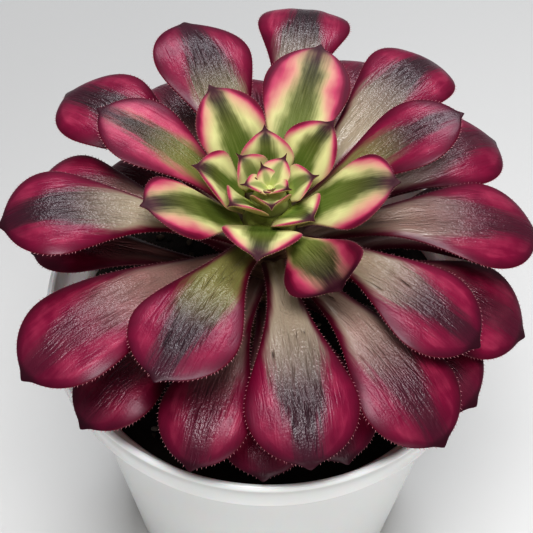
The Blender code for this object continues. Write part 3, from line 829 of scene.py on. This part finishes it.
class AEONIUM_OT_pot(Operator):
    """Add the white pot with its rolled rim, band, foot and drain holes"""

    bl_idname = "aeonium.pot"
    bl_label = "Pot"

    def execute(self, context):
        sizes = context.scene.aeonium_pot
        profile = self.inside(sizes.wall / MM) + self.outside()
        pot = spun("pot_fine", profile, sizes.steps)
        self.drain(pot)
        pot.data.materials.append(pot_plastic(sizes))
        stands_for(pot, "pot_plastic", "pot")
        return {"FINISHED"}

    def inside(self, wall):
        """From the middle of the floor up the inner side of the wall to the band, in mm."""
        shoulder = POT_TOP / MM - BAND_HEIGHT
        floor = POT_FLOOR
        profile = [(0.0, floor), (12.0, floor), (body_radius(floor) - wall - 3.0, floor),
                   (body_radius(4.2) - wall - 1.6, 3.9), (body_radius(5) - wall - 0.6, 4.9)]
        profile += [(body_radius(z) - wall, z) for z in (6.6, 20, 40, 60, 80, shoulder - 2)]
        return profile + [(body_radius(shoulder) - wall + 0.9, shoulder - 0.2),
                          (RIM_INNER - 1.6, shoulder + 0.9), (RIM_INNER - 0.5, shoulder + 1.8),
                          (RIM_INNER - 0.15, shoulder + 3.2)]

    def outside(self):
        """Over the rolled lip, down the band and the body, and in under the foot, in mm."""
        top, rim = POT_TOP / MM, RIM_INNER
        shoulder, foot = top - BAND_HEIGHT, body_radius(0)
        turns = [math.radians(180 - 22.5 * n) for n in range(9)]
        profile = [(rim + LIP + LIP * math.cos(a), top - LIP + LIP * math.sin(a)) for a in turns]
        profile += [(rim + 1.95, top - 1.8), (rim + 1.55, top - 2.4), (rim + 1.2, shoulder + 2.0),
                    (rim + 1.35, shoulder + 1.1), (rim + 1.4, shoulder + 0.6), (rim + 1.25, shoulder + 0.15),
                    (rim + 0.9, shoulder), (body_radius(shoulder) + 0.6, shoulder - 0.15),
                    (body_radius(shoulder) + 0.15, shoulder - 0.6)]
        profile += [(body_radius(z), z) for z in (shoulder - 1.4, 80, 60, 40, 20, 6)]
        return profile + [(foot + 0.25, 1.3), (foot, 0.6), (foot - 0.3, 0.15), (foot - 0.8, 0.0),
                          (foot - 6.0, 0.0), (foot - 6.4, 0.4), (foot - 6.6, 2.0), (11.6, 2.0), (11.2, 0.4),
                          (10.9, 0.0), (0.0, 0.0)]

    def drain(self, pot):
        """Cuts the ring of drain holes through the floor."""
        for n in range(DRAIN_HOLES):
            angle = math.radians(360 / DRAIN_HOLES * (n + 0.5))
            middle = Vector((DRAIN_CIRCLE * math.cos(angle), DRAIN_CIRCLE * math.sin(angle), 3)) * MM
            cutter = added(f"drain_{n}", bpy.ops.mesh.primitive_cylinder_add, vertices=32,
                           radius=DRAIN_RADIUS * MM, depth=12 * MM, location=middle)
            cut = pot.modifiers.new("drain", "BOOLEAN")
            cut.operation = "DIFFERENCE"
            cut.solver = "EXACT"
            cut.object = cutter
            select(pot)
            bpy.ops.object.modifier_apply(modifier=cut.name)
            bpy.data.objects.remove(cutter)
        bpy.ops.object.shade_smooth_by_angle(angle=SMOOTH_UNDER)


class AEONIUM_OT_soil(Operator):
    """Add the uneven soil with its loose crumbs"""

    bl_idname = "aeonium.soil"
    bl_label = "Soil"

    def execute(self, context):
        looks = context.scene.aeonium_soil
        level = POT_TOP / MM - SOIL_BELOW_RIM
        hole = between(STEM_RADIUS, -SOIL_BELOW_RIM) + GAP
        wall = context.scene.aeonium_pot.wall / MM + GAP
        deep = level - STEM_IN_SOIL
        profile = [(0.0, deep), (hole, deep), (hole, (level + deep) / 2)]
        profile += [(hole + 0.9 * n, level) for n in range(43)]
        profile += [(body_radius(z) - wall, z) for z in (level - 2.5, 60, 30, 7.6)]
        profile += [(body_radius(4.6) - wall - 3.2, POT_FLOOR + GAP), (0.0, POT_FLOOR + GAP)]
        soil = spun("soil_fine", profile, 150)
        top = (level - 0.1) * MM
        ripple(soil, 1.0 * MM, 10.5 * MM, 0.3, top)
        ripple(soil, 0.7 * MM, 3.0 * MM, 4.1, top - 2 * MM)
        ripple(soil, 0.35 * MM, 1.3 * MM, 9.7, top - 2 * MM)
        soil.data.materials.append(potting_soil(looks))
        stands_for(soil, "soil", "soil")
        self.crumbs(looks, level * MM)
        return {"FINISHED"}

    def crumbs(self, looks, level):
        """Scatters rough crumbs on the surface: many dark ones and a few pale ones."""
        draw = random.Random(12)
        crumb = added("soil_crumbs", bpy.ops.mesh.primitive_ico_sphere_add, subdivisions=2, radius=1)
        bpy.ops.object.mode_set(mode="EDIT")
        bpy.ops.mesh.select_all(action="SELECT")
        bpy.ops.transform.resize(value=(0.5, 0.4, 0.3))
        bpy.ops.object.mode_set(mode="OBJECT")
        shape = places(crumb)
        copies, pale = [], []
        inner, outer = CRUMB_RING
        for n in range(looks.crumbs):
            r = math.sqrt(draw.uniform(inner ** 2, outer ** 2)) * MM
            angle = draw.uniform(0, 2 * math.pi)
            size = looks.largest * draw.uniform(0.25, 1.0) ** 1.8
            own = Vector((n, 0, 0))
            rough = np.array([1 + 0.35 * noise.noise(Vector(corner) * 2.3 + own) for corner in shape])
            turn = Matrix.Rotation(draw.uniform(0, 6.28), 3, "Z")
            turn = turn @ Matrix.Rotation(draw.uniform(-0.6, 0.6), 3, "X")
            here = np.array((r * math.cos(angle), r * math.sin(angle), level + 0.12 * size))
            copies.append((shape * rough[:, None] * size) @ np.array(turn).T + here)
            is_bark = draw.random() > 0.05
            pale += [draw.random() ** 1.5 if is_bark else 1.0] * len(shape)
        multiply(crumb, copies)
        write_attribute(crumb, "crumb_kind", np.column_stack((pale, pale, pale)))
        crumb.data.materials.append(soil_grit())
        bpy.ops.object.shade_smooth()
        stands_for(crumb, "soil")


class AEONIUM_OT_stem(Operator):
    """Add the woody stem with the scars of fallen leaves"""

    bl_idname = "aeonium.stem"
    bl_label = "Stem"

    def execute(self, context):
        foot = GAP - SOIL_BELOW_RIM - STEM_IN_SOIL
        heights = np.linspace(STEM_TOP - 0.4, foot + 1, 90)
        profile = [(0.0, STEM_TOP), (between(STEM_RADIUS, STEM_TOP) - 0.3, STEM_TOP)]
        profile += [(between(STEM_RADIUS, z), z) for z in heights]
        profile += [(between(STEM_RADIUS, foot) - 1, foot), (0.0, foot)]
        stem = spun("stem_fine", profile, 72, POT_TOP)
        corners = places(stem)
        for corner in corners:
            r = math.hypot(corner[0], corner[1])
            if r >= 4 * MM:
                corner[:2] *= 1 - self.scar_depth(corner) / r
        move_corners(stem, corners)
        stem.data.materials.append(stem_bark())
        stands_for(stem, "stem_bark", "stem")
        return {"FINISHED"}

    def scar_depth(self, corner):
        """How far the bark lies inwards here: leaf scars in crossing spirals, with a roughness of its own."""
        z = (corner[2] - POT_TOP) / MM
        angle = math.atan2(corner[1], corner[0])
        scar = math.cos(angle * 3 + z * 1.9) * math.cos(angle * 5 - z * 1.2)
        rough = noise.noise(Vector(corner) / (1.4 * MM))
        return max(0.0, 0.18 + 0.16 * scar + 0.14 * rough) * MM


class AEONIUM_OT_leaves(Operator):
    """Add every free leaf of the rosette with the hairs on its edges"""

    bl_idname = "aeonium.leaves"
    bl_label = "Leaves"

    def execute(self, context):
        skins = rosette_skins(context.scene)
        for k in FREE_LEAVES:
            leaf = whole_leaf(f"leaf_{k:02d}_fine", k, skins, context.scene.aeonium_hairs)
            slot = "inner_leaf" if k <= LAST_INNER_LEAF else "outer_leaf"
            stands_for(leaf, slot, f"leaf_{k:02d}")
        return {"FINISHED"}


class AEONIUM_OT_heart(Operator):
    """Add the youngest leaves, still folded together round the growing point"""

    bl_idname = "aeonium.heart"
    bl_label = "Heart"

    def execute(self, context):
        skins = rosette_skins(context.scene)
        hairs = context.scene.aeonium_hairs
        folded = [whole_leaf(f"folded_{k + 8}", k, skins, hairs) for k in HEART_LEAVES]
        foot, tip = STEM_TOP + GAP, STEM_RADIUS[-1][0]
        profile = [(0.0, tip + 0.1), (0.6, tip - 0.1)]
        profile += [(between(STEM_RADIUS, z), z) for z in np.linspace(tip - 0.5, foot + 0.5, 12)]
        profile += [(between(STEM_RADIUS, foot) - 0.3, foot), (0.0, foot)]
        core = spun("growing_point", profile, 32, POT_TOP)
        marks = {"leaf_place": (0.1, 0.2, 3), "leaf_mm": (1, 1, 30), "leaf_kind": (0, 0.5, 1),
                 "leaf_marks": (0.5, 1, 1)}
        for name, row in marks.items():
            write_attribute(core, name, np.tile(row, (len(core.data.vertices), 1)))
        core.data.materials.append(skins[0])
        heart = joined("heart_fine", [core, *folded])
        stands_for(heart, "inner_leaf", "heart")
        return {"FINISHED"}


class AEONIUM_OT_stage(Operator):
    """Add the pale floor, the soft lights and the camera"""

    bl_idname = "aeonium.stage"
    bl_label = "Stage"

    def execute(self, context):
        looks = context.scene.aeonium_stage
        floor = added("pale_floor", bpy.ops.mesh.primitive_plane_add, size=12)
        floor.data.materials.append(pale_table(looks))
        for name, place, size, share, colour in LIGHTS:
            self.light(name, place, size, looks.key * share, colour)
        self.sky(context.scene, looks.sky)
        self.camera(context.scene, looks)
        context.scene.view_settings.view_transform = "Standard"
        context.scene.view_settings.look = "High Contrast"
        return {"FINISHED"}

    def light(self, name, place, size, watts, colour):
        """A rectangle of soft light that faces the middle of the rim."""
        lamp = added(name, bpy.ops.object.light_add, type="AREA", location=place)
        lamp.data.shape = "RECTANGLE"
        lamp.data.size, lamp.data.size_y = size
        lamp.data.energy = watts
        lamp.data.color = colour
        lamp.rotation_euler = (Vector((0, 0, POT_TOP)) - Vector(place)).to_track_quat("-Z", "Y").to_euler()

    def sky(self, scene, strength):
        """Even light from all round."""
        scene.world = bpy.data.worlds.new("studio")
        scene.world.use_nodes = True
        inputs = scene.world.node_tree.nodes["Background"].inputs
        inputs["Color"].default_value = (0.96, 0.97, 1.0, 1)
        inputs["Strength"].default_value = strength

    def camera(self, scene, looks):
        """A camera in front of the pot that looks down on the rosette."""
        lean = Matrix.Rotation(math.radians(90) - looks.elevation, 3, "X")
        lean = lean @ Matrix.Rotation(looks.roll, 3, "Z")
        back = Vector((0, -math.cos(looks.elevation), math.sin(looks.elevation)))
        camera = added("camera", bpy.ops.object.camera_add, location=CAMERA_AIM + back * looks.distance,
                       rotation=lean.to_euler())
        camera.data.sensor_width = 36
        camera.data.lens = looks.lens
        scene.camera = camera


class AEONIUM_PT_panel(Panel):
    """Lists the pieces of the plant and its settings"""

    bl_label = "Potted aeonium"
    bl_space_type = "VIEW_3D"
    bl_region_type = "UI"
    bl_category = "Aeonium"

    def draw(self, context):
        for operator in OPERATORS:
            self.layout.operator(operator.bl_idname)
        for name, group in SETTINGS.items():
            box = self.layout.box()
            for field in group.__annotations__:
                box.prop(getattr(context.scene, name), field)


OPERATORS = (AEONIUM_OT_pot, AEONIUM_OT_soil, AEONIUM_OT_stem, AEONIUM_OT_leaves, AEONIUM_OT_heart,
             AEONIUM_OT_stage)
SETTINGS = {"aeonium_leaves": LeafLooks, "aeonium_hairs": HairSizes, "aeonium_pot": PotSizes,
            "aeonium_soil": SoilSizes, "aeonium_stage": StageLooks}


def register():
    for group in (*SETTINGS.values(), *OPERATORS, AEONIUM_PT_panel):
        bpy.utils.register_class(group)
    for name, group in SETTINGS.items():
        setattr(bpy.types.Scene, name, PointerProperty(type=group))


def unregister():
    for name in SETTINGS:
        delattr(bpy.types.Scene, name)
    for group in (AEONIUM_PT_panel, *reversed(OPERATORS), *reversed(SETTINGS.values())):
        bpy.utils.unregister_class(group)


def main():
    register()
    bpy.ops.aeonium.pot()
    bpy.ops.aeonium.soil()
    bpy.ops.aeonium.stem()
    bpy.ops.aeonium.leaves()
    bpy.ops.aeonium.heart()
    bpy.ops.aeonium.stage()


if __name__ == "__main__":
    main()
